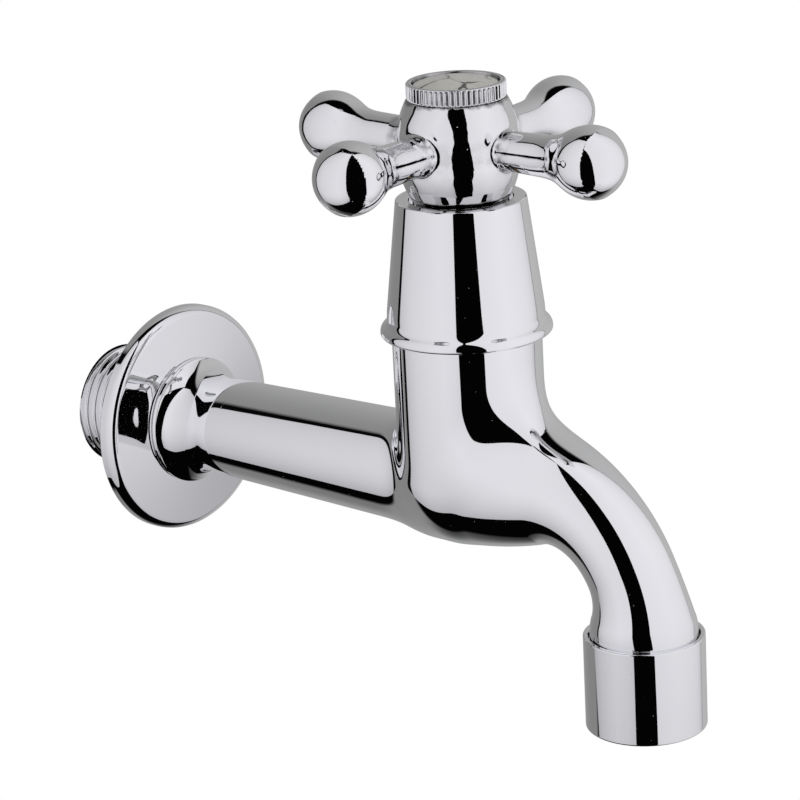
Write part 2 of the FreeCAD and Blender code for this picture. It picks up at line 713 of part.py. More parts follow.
def aerator_housing():
    """The chromed sleeve that screws onto the spout and holds the aerator."""
    return turned(
        OUTLET_X,
        (SLEEVE_MOUTH_R + 0.25, SLEEVE_TOP),
        (SLEEVE_R - 0.25, SLEEVE_TOP),
        (SLEEVE_R, SLEEVE_TOP - 0.25),
        (SLEEVE_R, SLEEVE_BOTTOM + 0.3),
        (SLEEVE_R - 0.3, SLEEVE_BOTTOM),
        (SLEEVE_LIP_R + 0.3, SLEEVE_BOTTOM),
        (SLEEVE_LIP_R, SLEEVE_BOTTOM + 0.3),
        (SLEEVE_LIP_R, SLEEVE_LIP_TOP),
        (OUTLET_THREAD_R + THREAD_GAP, SLEEVE_LIP_TOP),
        (OUTLET_THREAD_R + THREAD_GAP, OUTLET_THREAD_TOP - 0.4),
        (SLEEVE_MOUTH_R, OUTLET_THREAD_TOP - 0.4),
        (SLEEVE_MOUTH_R, SLEEVE_TOP - 0.25),
    )


def aerator_washer():
    return tube(OUTLET_X, OUTLET_BORE_R + 0.2, CORE_R, CORE_TOP + 0.01, OUTLET_THREAD_END - 0.01)


def aerator_core():
    """The plastic insert: a spool with a ring of air slots."""
    floor_z = SLEEVE_LIP_TOP + 0.02
    spool = turned(
        OUTLET_X,
        (CORE_BORE_R, floor_z),
        (CORE_R, floor_z),
        (CORE_R, floor_z + 0.8),
        (CORE_WAIST_R, floor_z + 1.0),
        (CORE_WAIST_R, CORE_TOP - 0.8),
        (CORE_R, CORE_TOP - 0.8),
        (CORE_R, CORE_TOP),
        (CORE_BORE_R, CORE_TOP),
    )
    for i in range(8):
        slot = Part.makeBox(3.0, 1.2, 1.4, Vector(6.0, -0.6, 0))
        slot.rotate(Vector(), Vector(0, 0, 1), 45 * i + 22.5)
        slot.translate(Vector(OUTLET_X, 0, floor_z + 1.4))
        spool = spool.cut(slot)
    return spool


def aerator_diffuser():
    """The perforated plate at the top of the insert."""
    plate = rod(OUTLET_X, CORE_BORE_R - CORE_CLEAR, CORE_TOP - 1.2, CORE_TOP - 0.02)
    for count, ring_r in ((6, 2.2), (12, 4.3), (18, 6.0)):
        for i in range(count):
            angle = 2 * math.pi * i / count
            centre = Vector(OUTLET_X + ring_r * math.cos(angle), ring_r * math.sin(angle), CORE_TOP - 2)
            plate = plate.cut(Part.makeCylinder(0.45, 3, centre))
    return plate


def aerator_screens():
    """Two gauze discs across the mouth of the insert."""
    low = SLEEVE_LIP_TOP + 0.1
    radius = CORE_BORE_R - CORE_CLEAR
    discs = [rod(OUTLET_X, radius, low + step, low + step + GAUZE_THICK) for step in (0.0, 0.9)]
    return Part.makeCompound(discs)


MAKERS = [
    body,
    wall_flange,
    bonnet,
    bonnet_washer,
    shroud,
    spindle,
    spindle_o_rings,
    thrust_washer,
    spindle_clip,
    valve_piston,
    seat_washer,
    washer_nut,
    handle,
    handle_screw,
    screw_washer,
    index_ring,
    index_disc,
    aerator_housing,
    aerator_washer,
    aerator_core,
    aerator_diffuser,
    aerator_screens,
]

os.makedirs("parts", exist_ok=True)
for maker in MAKERS:
    shape = maker()
    shape.exportStep("parts/" + maker.__name__ + ".step")
    print(maker.__name__, shape.isValid(), len(shape.Solids), round(shape.Volume, 1))
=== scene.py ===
import math

import bpy
import numpy as np
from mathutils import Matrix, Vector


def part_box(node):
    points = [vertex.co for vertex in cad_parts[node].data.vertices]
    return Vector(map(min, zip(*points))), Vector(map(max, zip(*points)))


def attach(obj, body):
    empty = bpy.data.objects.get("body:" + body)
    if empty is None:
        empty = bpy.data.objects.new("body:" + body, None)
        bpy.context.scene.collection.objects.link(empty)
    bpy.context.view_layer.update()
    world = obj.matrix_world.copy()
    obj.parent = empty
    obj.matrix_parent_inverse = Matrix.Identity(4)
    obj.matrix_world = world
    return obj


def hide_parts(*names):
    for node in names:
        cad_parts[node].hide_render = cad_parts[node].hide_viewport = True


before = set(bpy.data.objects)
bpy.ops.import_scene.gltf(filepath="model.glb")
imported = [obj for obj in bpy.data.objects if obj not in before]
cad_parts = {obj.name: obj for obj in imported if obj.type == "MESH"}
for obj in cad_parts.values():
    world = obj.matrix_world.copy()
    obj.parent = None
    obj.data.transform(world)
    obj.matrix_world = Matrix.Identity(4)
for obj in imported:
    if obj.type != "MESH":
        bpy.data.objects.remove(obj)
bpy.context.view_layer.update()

import openvdb
from mathutils import Matrix, Vector

# Lengths below are in millimetres and turn into metres where a mesh, a node or the camera is made.
MM = 0.001


def box_mm(node):
    """Lowest and highest corner of a CAD node, in millimetres."""
    low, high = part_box(node)
    return [c / MM for c in low], [c / MM for c in high]


# ---- Sizes read from the frame ----
SHROUD_LOW, SHROUD_HIGH = box_mm("shroud")
SLEEVE_LOW, SLEEVE_HIGH = box_mm("aerator_housing")
FLANGE_HIGH = box_mm("wall_flange")[1]
BODY_LOW, BODY_HIGH = box_mm("body")
HANDLE_LOW, HANDLE_HIGH = box_mm("handle")
CAP_LOW, CAP_HIGH = box_mm("index_ring")
DISC_LOW, DISC_HIGH = box_mm("index_disc")
SCREEN_LOW, SCREEN_HIGH = box_mm("aerator_screens")

SPINDLE_X = (SHROUD_LOW[0] + SHROUD_HIGH[0]) / 2
OUTLET_X = (SLEEVE_LOW[0] + SLEEVE_HIGH[0]) / 2
SLEEVE_R = (SLEEVE_HIGH[0] - SLEEVE_LOW[0]) / 2
FLANGE_R = FLANGE_HIGH[2]
NECK_R = BODY_HIGH[1]
NECK_TOP = BODY_HIGH[2]
ARM_SPAN = (HANDLE_HIGH[0] - HANDLE_LOW[0]) / 2
HUB_BOTTOM = HANDLE_LOW[2]
HUB_TOP = HANDLE_HIGH[2]
KNURL_R = (CAP_HIGH[0] - CAP_LOW[0]) / 2
CAP_TOP = CAP_HIGH[2]
DISC_R = (DISC_HIGH[0] - DISC_LOW[0]) / 2
DISC_TOP = DISC_HIGH[2]
DISC_BOTTOM = DISC_LOW[2]

# ---- Sizes of the casting's outer skin ----
INLET_R = 10.4775
INLET_PITCH = 1.814
THREAD_DEPTH = 1.0
THREAD_SLOPE = 2.6
THREAD_FLAT = 0.25
THREAD_END_X = 1.2
CREST_START_X = 1.5
CREST_STEP = 0.09
INLET_END = BODY_LOW[0]
INLET_BORE_R = 6.0
COLLAR_X = 3.6
COLLAR_R = 10.9
FLARE_START = 4.6
FLARE_END = 11.5
# The inlet end is turned up to the seam, and past it each of the two pieces dips under the other one.
SEAM_X = 16.0
SEAM_OVERLAP = 0.8
SEAM_DIP = 0.4
SKIN_OVERLAP = 1.2
SKIN_DIP = 0.03
RELIEF_R = 9.2
RELIEF_X = 1.7
PLUG_R = 1.0
WAIST_X = 10.4
WAIST_DEPTH = 0.18
WAIST_SPREAD = 2.0
TUBE_R = 8.5
TUBE_R_X = 20.0
TUBE_TAPER = 0.0193
TUBE_END_X = SPINDLE_X - 6.0
BELLY_Z = 2.0
NECK_BORE_R = 10.6
CHAMBER_R = 8.6
CHAMBER_TOP = 15.0
CHAMBER_FLOOR = 6.8
CREASE_BLEND = 4.0
UNDER_BLEND = 9.0
UNDER_START = 2.0
UNDER_FULL = 9.0
UNDER_LEAD = 10.0
THROAT_BLEND = 12.0
THROAT_SIDE = 6.5
THROAT_START_X = 64.0
THROAT_RUN = 10.0
THROAT_LOW_Z = -3.0
THROAT_HIGH_Z = 7.0
LEAST_BLEND = 0.8
THROAT_REACH = 11.0

# ---- Belly and spout: a run to the shoulder, a bend that is a quarter of an ellipse, a straight end ----
BELLY_CENTRE_Z = 1.3
BELLY_R = 11.5
BELLY_TAPER = 2.3
SHOULDER_X = 79.6
SHOULDER_Z = 2.0
SHOULDER_R = 9.7
BEND_END_Z = -19.0
WAIST_TURN = 62.0
WAIST_R = 7.15
WAIST_TAPER = 2.3
OUTLET_R = 8.6
SPOUT_END_Z = -21.0

# ---- Wall flange and shroud ----
FLANGE_RIM = 2.75
FLANGE_RIM_FILLET = 1.7
FLANGE_WALL = 0.9
FLANGE_HOLE_R = 10.62
LIP_R = 13.85
CONE_R = 12.62
CONE_TOP_R = 10.45
SHROUD_MOUTH_R = 8.35
SHROUD_SEAT_TOP = 45.4
SHROUD_SEAT_LOW = 42.42
SHROUD_THREAD_R = 7.03
SHROUD_SKIRT_R = 12.17

# ---- Outlet sleeve and gauze ----
SLEEVE_SEAT_Z = -21.0
SLEEVE_MOUTH_R = 8.75
SLEEVE_THREAD_R = 8.36
SLEEVE_LIP_R = 7.4
SLEEVE_LIP_TOP = -33.4
GAUZE_R = 6.8
GAUZE_INSET = 0.15

# ---- Cap ----
DISC_RISE = 1.1
KNURL_TEETH = 56
KNURL_DEPTH = 0.42
KNURL_HEIGHT = 2.67
KNURL_BAND = 0.45
RECESS_DEPTH = 0.9
DISC_GAP = 0.12
CAP_BORE_R = 4.9
CAP_STEM_R = 6.17

# ---- Handle ----
HUB_R = 9.75
HUB_MID_Z = 55.6
HUB_CROWN = 0.0102
HUB_POWER = 2.5
ARM_Z = 56.0
ARM_R = 3.1
ARM_R_AT_BALL = 3.4
ARM_START = 9.0
ARM_SWELL_RUN = 10.0
ARM_FILLET = 5.0
BALL_R = 5.65
BALL_REACH = ARM_SPAN - BALL_R
ARM_ROOT_BLEND = 1.2

# ---- Fineness of the meshes: a step between points, or points round a turned piece ----
BODY_STEP = 0.42
HANDLE_STEP = 0.3
ROUND_POINTS = 256
DISC_POINTS = 128
POINTS_PER_TOOTH = 20
BODY_HALF_WIDTH = 14.0
BODY_FAR_X = 110.0


# ======================= Mesh helpers =======================
def mesh_piece(name, points, faces, normals=None):
    """A smooth mesh object from millimetre points, with given vertex normals."""
    mesh = bpy.data.meshes.new(name)
    mesh.from_pydata((np.asarray(points) * MM).tolist(), [], faces)
    mesh.polygons.foreach_set("use_smooth", [True] * len(mesh.polygons))
    if normals is not None:
        mesh.normals_split_custom_set_from_vertices(np.asarray(normals).tolist())
    mesh.update()
    piece = bpy.data.objects.new(name, mesh)
    bpy.context.scene.collection.objects.link(piece)
    return piece


def rounded(corners, arc_steps=6):
    """Expands closed corners (along, radius, fillet) into points and outward normals in that plane."""
    points = []
    normals = []
    count = len(corners)
    for i, (along, radius, fillet) in enumerate(corners):
        here = np.array([along, radius])
        before = np.array(corners[i - 1][:2]) - here
        after = np.array(corners[(i + 1) % count][:2]) - here
        u = before / np.linalg.norm(before)
        w = after / np.linalg.norm(after)
        half = math.acos(max(-1.0, min(1.0, float(u @ w)))) / 2
        side = math.copysign(1.0, u[0] * w[1] - u[1] * w[0])
        if fillet is None or half > 1.5:
            tangent = w - u
            normal = np.array([tangent[1], -tangent[0]])
            points.append(here)
            normals.append(normal / np.linalg.norm(normal))
            continue
        start_normal = np.array([-u[1], u[0]])
        end_normal = np.array([w[1], -w[0]])
        centre = here + (u + w) / np.linalg.norm(u + w) * (fillet / math.sin(half))
        for step in range(arc_steps + 1):
            normal = slerp(start_normal, end_normal, step / arc_steps)
            points.append(centre + normal * fillet * (-side))
            normals.append(normal)
    return np.array(points), np.array(normals)


def slerp(a, b, t):
    """Turns the unit vector a towards b by the share t of the angle between them."""
    angle = math.acos(max(-1.0, min(1.0, float(a @ b))))
    if angle < 1e-6:
        return a
    return (a * math.sin((1 - t) * angle) + b * math.sin(t * angle)) / math.sin(angle)


def place(along, radius, theta, axis_x):
    """Points of revolution: about the vertical at axis_x, or about the inlet axis if axis_x is None."""
    ones = np.ones_like(theta)
    if axis_x is None:
        return np.stack([along * ones, -radius * np.cos(theta), radius * np.sin(theta)], -1)
    return np.stack([axis_x + radius * np.cos(theta), radius * np.sin(theta), along * ones], -1)


def turned(name, outline, axis_x, segments, relief=None):
    """Revolves an outline. relief(along, radius, theta) is a radial shift, for teeth and threads."""
    points, flat_normals = outline
    theta = np.linspace(0, 2 * math.pi, segments, endpoint=False)[None, :]
    along = points[:, 0][:, None]
    radius = points[:, 1][:, None] + np.zeros_like(theta)
    if relief is not None:
        radius = radius + relief(along, radius, theta)
    grid = place(along, radius, theta, axis_x)
    outward = place(flat_normals[:, 0][:, None], flat_normals[:, 1][:, None] + 0 * theta, theta, axis_x)
    if axis_x is not None:
        outward[..., 0] -= axis_x
    normals = outward
    if relief is not None:
        across = np.roll(grid, -1, axis=0) - np.roll(grid, 1, axis=0)
        around = np.roll(grid, -1, axis=1) - np.roll(grid, 1, axis=1)
        normals = np.cross(around, across)
        normals /= np.maximum(np.linalg.norm(normals, axis=-1, keepdims=True), 1e-9)
        normals *= np.sign((normals * outward).sum(-1, keepdims=True))
    rings = len(points)
    index = np.arange(rings * segments).reshape(rings, segments)
    right = np.roll(index, -1, axis=1)
    down = np.roll(index, -1, axis=0)
    quads = np.stack([index, right, np.roll(right, -1, axis=0), down], -1).reshape(-1, 4)
    if faces_point_inward(grid, outward):
        quads = quads[:, ::-1]
    return mesh_piece(name, grid.reshape(-1, 3), quads.tolist(), normals.reshape(-1, 3))


def faces_point_inward(grid, outward):
    """Whether the order ring, next segment, next ring turns the faces into the solid."""
    around = grid[:, 1] - grid[:, 0]
    across = np.roll(grid[:, 0], -1, axis=0) - grid[:, 0]
    return (np.cross(around, across) * outward[:, 0]).sum() < 0


def gradient(distance, points, step=0.01):
    """Unit gradient of a distance function at points."""
    slopes = []
    for k in range(3):
        shift = np.zeros(3)
        shift[k] = step
        slopes.append(distance(points + shift) - distance(points - shift))
    slope = np.stack(slopes, -1)
    return slope / np.maximum(np.linalg.norm(slope, axis=-1, keepdims=True), 1e-9)


def skin(name, distance, low, high, step):
    """Meshes the zero surface of a distance function, with its exact normals."""
    # Blocks away from the surface keep the distance of their centre, and the close ones get every point's.
    coarse = 4
    counts = [coarse * int(math.ceil((b - a) / step / coarse)) for a, b in zip(low, high)]
    axes = [a + step * np.arange(count) for a, count in zip(low, counts)]
    blocks = np.stack(np.meshgrid(*[axis[::coarse] for axis in axes], indexing="ij"), -1)
    centres = blocks + step * (coarse - 1) / 2
    rough = distance(centres.reshape(-1, 3)).reshape(centres.shape[:3])
    values = np.repeat(np.repeat(np.repeat(rough, coarse, 0), coarse, 1), coarse, 2)
    close = np.abs(values) < step * coarse * 1.2
    where = np.stack([axis[i] for axis, i in zip(axes, np.nonzero(close))], -1)
    values[close] = np.concatenate([distance(part) for part in np.array_split(where, 24)])
    grid = openvdb.FloatGrid(2.0)
    grid.copyFromArray(values.astype(np.float32))
    points, quads = grid.convertToQuads(isovalue=0.0)
    points = np.asarray(points, dtype=np.float64) * step + np.array(low)
    # Newton steps move the points onto the surface.
    for _ in range(6):
        points -= gradient(distance, points) * distance(points)[:, None]
    normals = gradient(distance, points)
    quads = np.asarray(quads)
    corner = points[quads]
    face_normal = np.cross(corner[:, 2] - corner[:, 0], corner[:, 3] - corner[:, 1])
    if (face_normal * normals[quads[:, 0]]).sum() < 0:
        quads = quads[:, ::-1]
    return mesh_piece(name, points, quads.tolist(), normals)


def smooth_min(a, b, width):
    """Union of two distances with a concave blend of that width."""
    near = np.maximum(width - np.abs(a - b), 0.0) / width
    return np.minimum(a, b) - near ** 3 * width / 6.0


def ease(low, high, value):
    """Rises smoothly from 0 at low to 1 at high."""
    t = np.clip((value - low) / (high - low), 0.0, 1.0)
    return t * t * (3.0 - 2.0 * t)


# ======================= Distance functions of the castings =======================
def spout_line():
    """Centre (x, z) and radius of the round section, closely spaced from the belly to the outlet."""
    t = np.linspace(0.0, 1.0, 64)[:-1]
    belly = np.stack([
        SPINDLE_X + (SHOULDER_X - SPINDLE_X) * t,
        SHOULDER_Z - (SHOULDER_Z - BELLY_CENTRE_Z) * (1.0 - t) ** 2,
        BELLY_R - (BELLY_R - SHOULDER_R) * t ** BELLY_TAPER,
    ], -1)
    degrees = np.linspace(0.0, 90.0, 110)
    turn = np.radians(degrees)
    before = np.clip(1.0 - degrees / WAIST_TURN, 0.0, 1.0)
    after = np.clip((degrees - WAIST_TURN) / (90.0 - WAIST_TURN), 0.0, 1.0)
    bend = np.stack([
        SHOULDER_X + (OUTLET_X - SHOULDER_X) * np.sin(turn),
        BEND_END_Z + (SHOULDER_Z - BEND_END_Z) * np.cos(turn),
        WAIST_R + (SHOULDER_R - WAIST_R) * before ** WAIST_TAPER + (OUTLET_R - WAIST_R) * after ** 2,
    ], -1)
    straight = [(OUTLET_X, (BEND_END_Z + SPOUT_END_Z) / 2, OUTLET_R), (OUTLET_X, SPOUT_END_Z, OUTLET_R)]
    return np.concatenate([belly, bend, straight])


SPOUT_LINE = spout_line()


def tube_radius(x):
    """Radius of the tapered tube at a place along it."""
    return TUBE_R + TUBE_TAPER * (x - TUBE_R_X)


def tube_distance(p):
    """The tapered tube from the wall, which ends in a ball inside the neck."""
    x = np.minimum(p[:, 0], TUBE_END_X)
    radius = tube_radius(x) - SKIN_DIP * np.maximum(SEAM_X - x, 0.0)
    return np.sqrt(np.maximum(p[:, 0] - TUBE_END_X, 0.0) ** 2 + p[:, 1] ** 2 + p[:, 2] ** 2) - radius


def neck_distance(p):
    """The upright neck with its round bottom."""
    below = np.minimum(p[:, 2] - BELLY_Z, 0.0)
    return np.sqrt((p[:, 0] - SPINDLE_X) ** 2 + p[:, 1] ** 2 + below ** 2) - NECK_R


def spout_distance(p):
    """The belly and spout: a round section along a curved line."""
    gap = np.full(len(p), 1e3)
    near = np.flatnonzero(p[:, 0] > SPOUT_LINE[0, 0] - 22.0)
    for part in np.array_split(near, max(1, len(near) // 20000)):
        q = p[part]
        d = np.sqrt((q[:, 0, None] - SPOUT_LINE[:, 0]) ** 2 + q[:, 1, None] ** 2
                    + (q[:, 2, None] - SPOUT_LINE[:, 1]) ** 2) - SPOUT_LINE[:, 2]
        best = np.clip(d.argmin(1), 1, d.shape[1] - 2)
        rows = np.arange(len(q))
        left, middle, right = d[rows, best - 1], d[rows, best], d[rows, best + 1]
        bend = np.maximum(left - 2 * middle + right, 1e-9)
        t = np.clip((left - right) / (2 * bend), -1.0, 1.0)
        gap[part] = middle + (right - left) * t / 2 + bend * t ** 2 / 2
    return gap


def throat_width(p):
    """The fillet above the spout: wide on the centre line, smaller round its sides, least underneath."""
    along = ease(THROAT_START_X, THROAT_START_X + THROAT_RUN, p[:, 0])
    above = along * ease(THROAT_LOW_Z, THROAT_HIGH_Z, p[:, 2])
    middle = 1.0 - ease(0.0, THROAT_REACH, np.abs(p[:, 1]))
    return LEAST_BLEND + above * (THROAT_SIDE - LEAST_BLEND + (THROAT_BLEND - THROAT_SIDE) * middle)


def crease_width(p):
    """The fillet round the end of the tube: tight above, wide below, where it runs into the belly."""
    before_belly = 1.0 - ease(SPINDLE_X - UNDER_LEAD, SPINDLE_X, p[:, 0])
    below = ease(UNDER_START, UNDER_FULL, -p[:, 2])
    return CREASE_BLEND + (UNDER_BLEND - CREASE_BLEND) * below * before_belly


def body_distance(p):
    """The casting from the seam on: cut flat at the seam, the neck's top and the spout's end, and bored."""
    d = smooth_min(neck_distance(p), spout_distance(p), throat_width(p))
    d = smooth_min(d, tube_distance(p), crease_width(p))
    d = np.maximum(d, SEAM_X - SKIN_OVERLAP - p[:, 0])
    d = np.maximum(d, p[:, 2] - NECK_TOP)
    from_axis = np.hypot(p[:, 0] - SPINDLE_X, p[:, 1])
    bore = np.maximum(from_axis - NECK_BORE_R, CHAMBER_TOP - p[:, 2])
    chamber = np.maximum(from_axis - CHAMBER_R, CHAMBER_FLOOR - p[:, 2])
    d = np.maximum(d, -np.minimum(bore, chamber))
    return np.maximum(d, SPOUT_END_Z - p[:, 2])


def hub_radius(z):
    """The barrel swells towards its middle, faster near its ends."""
    return HUB_R - HUB_CROWN * np.abs(z - HUB_MID_Z) ** HUB_POWER


def hub_distance(p):
    """The barrel of the hub, cut flat at both ends."""
    radial = np.hypot(p[:, 0], p[:, 1])
    z = np.clip(p[:, 2], HUB_BOTTOM, HUB_TOP)
    slope = (hub_radius(z + 0.05) - hub_radius(z - 0.05)) / 0.1
    side = (radial - hub_radius(z)) / np.sqrt(1 + slope ** 2)
    return np.maximum(side, np.maximum(HUB_BOTTOM - p[:, 2], p[:, 2] - HUB_TOP))


def arm_distance(p):
    """Four round arms with ball ends, folded into one by symmetry."""
    x = np.maximum(np.abs(p[:, 0]), np.abs(p[:, 1]))
    y = np.minimum(np.abs(p[:, 0]), np.abs(p[:, 1]))
    radial = np.hypot(y, p[:, 2] - ARM_Z)
    share = np.clip((x - ARM_START) / ARM_SWELL_RUN, 0.0, 1.0)
    rod = radial - (ARM_R + (ARM_R_AT_BALL - ARM_R) * share)
    rod = np.maximum(rod, x - BALL_REACH)
    ball = np.hypot(x - BALL_REACH, radial) - BALL_R
    return smooth_min(rod, ball, ARM_FILLET)


def handle_distance(p):
    """The handle casting: the hub and its arms, where they stand on the spindle."""
    q = p - np.array([SPINDLE_X, 0.0, 0.0])
    return smooth_min(hub_distance(q), arm_distance(q), ARM_ROOT_BLEND)


# ======================= Materials =======================
class Nodes:
    """Short calls for building a node material."""

    def __init__(self, name):
        self.material = bpy.data.materials.new(name)
        self.material.use_nodes = True
        self.tree = self.material.node_tree
        self.surface = self.tree.nodes["Principled BSDF"]
        self.where = self.add("ShaderNodeTexCoord").outputs["Object"]

    def add(self, kind, **settings):
        node = self.tree.nodes.new(kind)
        for key, value in settings.items():
            setattr(node, key, value)
        return node

    def link(self, source, target):
        self.tree.links.new(source, target)

    def stretched(self, scale):
        mapping = self.add("ShaderNodeMapping")
        mapping.inputs["Scale"].default_value = scale
        self.link(self.where, mapping.inputs["Vector"])
        return mapping.outputs["Vector"]

    def noise(self, size_mm, detail=2.0, roughness=0.5, vector=None):
        """Noise whose features are about size_mm across."""
        node = self.add("ShaderNodeTexNoise")
        node.inputs["Scale"].default_value = 1.0 / (size_mm * MM)
        node.inputs["Detail"].default_value = detail
        node.inputs["Roughness"].default_value = roughness
        self.link(vector or self.where, node.inputs["Vector"])
        return node.outputs["Fac"]

    def cells(self, size_mm):
        """Distance to the middle of the nearest cell, for cells about size_mm across."""
        node = self.add("ShaderNodeTexVoronoi", feature="F1")
        node.inputs["Scale"].default_value = 1.0 / (size_mm * MM)
        self.link(self.where, node.inputs["Vector"])
        return node.outputs["Distance"]

    def ramp(self, source, low, high, out_low=0.0, out_high=1.0):
        node = self.add("ShaderNodeMapRange")
        node.inputs["From Min"].default_value = low
        node.inputs["From Max"].default_value = high
        node.inputs["To Min"].default_value = out_low
        node.inputs["To Max"].default_value = out_high
        self.link(source, node.inputs["Value"])
        return node.outputs["Result"]

    def axis_distance(self):
        """Distance from the spindle's axis, in metres."""
        apart = self.add("ShaderNodeSeparateXYZ")
        self.link(self.where, apart.inputs["Vector"])
        across = self.math("SUBTRACT", apart.outputs["X"], SPINDLE_X * MM)
        square = self.math("MULTIPLY", across, across)
        side_square = self.math("MULTIPLY", apart.outputs["Y"], apart.outputs["Y"])
        return self.math("SQRT", self.math("ADD", square, side_square))

    def math(self, operation, a, b=0.0):
        node = self.add("ShaderNodeMath", operation=operation)
        for socket, value in zip(node.inputs, (a, b)):
            if isinstance(value, (int, float)):
                socket.default_value = value
            else:
                self.link(value, socket)
        return node.outputs["Value"]

    def mix(self, factor, a, b):
        node = self.add("ShaderNodeMix", data_type="RGBA")
        self.link(factor, node.inputs["Factor"])
        for socket, value in ((node.inputs["A"], a), (node.inputs["B"], b)):
            if isinstance(value, tuple):
                socket.default_value = value
            else:
                self.link(value, socket)
        return node.outputs["Result"]

    def bump(self, height, depth_mm, previous=None):
        node = self.add("ShaderNodeBump")
        node.inputs["Distance"].default_value = depth_mm * MM
        node.inputs["Strength"].default_value = 1.0
        self.link(height, node.inputs["Height"])
        if previous is not None:
            self.link(previous, node.inputs["Normal"])
        return node.outputs["Normal"]

    def finish(self, **values):
        for key, value in values.items():
            socket = self.surface.inputs[key.replace("_", " ")]
            if isinstance(value, (int, float, tuple)):
                socket.default_value = value
            else:
                self.link(value, socket)
        return self.material


def chrome(name, wave_mm=0.016, pit_depth=0.02, pit_share=0.04, dull=0.03):
    """Polished chrome plate: slightly wavy, lightly smudged, finely scratched, with casting pits."""
    n = Nodes(name)
    smudge = n.noise(9.0, 3.0)
    rough = n.ramp(smudge, 0.35, 0.7, dull * 0.4, dull)
    scratch = n.noise(0.25, 2.0, vector=n.stretched((1.0, 0.12, 0.2)))
    rough = n.math("ADD", rough, n.ramp(scratch, 0.62, 0.8, 0.0, 0.05))
    colour = n.mix(n.noise(14.0, 2.0), (0.90, 0.905, 0.925, 1), (0.93, 0.93, 0.935, 1))
    normal = n.bump(n.noise(7.0, 1.0), wave_mm)
    pits = n.ramp(n.cells(1.1), 0.0, pit_share, 0.0, 1.0)
    normal = n.bump(pits, pit_depth, normal)
    return n.finish(Base_Color=colour, Metallic=1.0, Roughness=rough, Normal=normal)


def cast_chrome(name):
    """Chrome on the handle casting: uneven polish, dimples, and painted shade at its foot, arm roots and cap
    and towards its lower end.
    """
    n = Nodes(name)
    rough = n.ramp(n.noise(3.0, 3.0), 0.4, 0.75, 0.015, 0.06)
    colour = n.mix(n.noise(6.0, 2.0), (0.87, 0.875, 0.895, 1), (0.93, 0.93, 0.935, 1))
    apart = n.add("ShaderNodeSeparateXYZ")
    n.link(n.where, apart.inputs["Vector"])
    height = n.math("ADD", apart.outputs["Z"], n.math("MULTIPLY", n.noise(2.5, 3.0), 2.0 * MM))
    foot = n.ramp(height, (HUB_BOTTOM + 1.2) * MM, (HUB_BOTTOM + 3.0) * MM, 1.0, 0.0)
    under_cap = n.ramp(height, (HUB_TOP + 0.6) * MM, (HUB_TOP + 1.2) * MM, 0.0, 1.0)
    from_axis = n.axis_distance()
    outside_hub = n.ramp(from_axis, 9.6 * MM, 10.3 * MM)
    near_hub = n.ramp(from_axis, 10.8 * MM, 13.0 * MM, 1.0, 0.0)
    root = n.math("MULTIPLY", outside_hub, near_hub)
    blotches = n.ramp(n.noise(1.6, 3.0), 0.40, 0.62, 0.0, 0.75)
    joints = n.math("MULTIPLY", root, blotches)
    lower = n.ramp(height, (HUB_BOTTOM + 2.0) * MM, (HUB_BOTTOM + 8.0) * MM, 0.35, 0.0)
    # Painted shade: the colour goes near black at the hub's foot, next to the cap, in blotches at the arm
    # roots, and fading up from the lower end.
    painted_shade = n.math("MULTIPLY", n.math("MAXIMUM", foot, under_cap), 0.8)
    painted_shade = n.math("MAXIMUM", painted_shade, n.math("MAXIMUM", joints, lower))
    colour = n.mix(painted_shade, colour, (0.05, 0.045, 0.045, 1))
    uneven = n.ramp(from_axis, 10.0 * MM, 12.5 * MM, 1.0, 0.15)
    normal = n.bump(n.math("MULTIPLY", n.noise(6.0, 1.5), uneven), 0.5)
    normal = n.bump(n.noise(1.8, 2.0), 0.012, normal)
    pits = n.ramp(n.cells(0.9), 0.0, 0.11, 0.0, 1.0)
    patch = n.ramp(n.noise(4.0, 1.0), 0.55, 0.62, 0.0, 1.0)
    normal = n.bump(n.math("MAXIMUM", pits, n.math("SUBTRACT", 1.0, patch)), 0.03, normal)
    return n.finish(Base_Color=colour, Metallic=1.0, Roughness=rough, Normal=normal)


def knurled_chrome(name):
    """Chrome on the cap ring, with painted shade in the grooves of its knurl and in the corner round the
    disc.
    """
    n = Nodes(name)
    from_axis = n.axis_distance()
    root_r = KNURL_R - KNURL_DEPTH
    groove = n.ramp(from_axis, root_r * MM, (KNURL_R - 0.16) * MM, 0.95, 0.0)
    tooth = n.ramp(from_axis, (root_r - 0.12) * MM, (root_r - 0.06) * MM, 0.0, 1.0)
    corner = n.ramp(from_axis, (DISC_R + 0.2) * MM, (DISC_R + 0.6) * MM, 0.85, 0.0)
    uneven = n.ramp(n.noise(3.0, 2.0), 0.35, 0.65, 0.35, 1.0)
    # Painted shade: the colour goes near black in the knurl's grooves and in the corner round the disc,
    # unevenly.
    painted_shade = n.math("MULTIPLY", n.math("MAXIMUM", n.math("MULTIPLY", groove, tooth), corner), uneven)
    colour = n.mix(painted_shade, (0.91, 0.91, 0.925, 1), (0.03, 0.028, 0.028, 1))
    rough = n.math("ADD", n.ramp(n.noise(2.0, 2.0), 0.4, 0.7, 0.02, 0.08), n.math("MULTIPLY", painted_shade, 0.3))
    normal = n.bump(n.noise(1.2, 2.0), 0.01)
    return n.finish(Base_Color=colour, Metallic=1.0, Roughness=rough, Normal=normal)


def turned_metal(name, pale, dark, rough_low, rough_high, groove_mm=0.12):
    """Turned or plated metal: fine lathe marks, tarnish in patches."""
    n = Nodes(name)
    marks = n.noise(groove_mm, 2.0, vector=n.stretched((0.2, 0.2, 1.0)))
    tarnish = n.ramp(n.noise(2.5, 4.0, 0.6), 0.35, 0.7)
    colour = n.mix(tarnish, pale, dark)
    rough = n.ramp(n.math("ADD", marks, tarnish), 0.3, 1.6, rough_low, rough_high)
    normal = n.bump(marks, 0.004)
    return n.finish(Base_Color=colour, Metallic=1.0, Roughness=rough, Normal=normal)


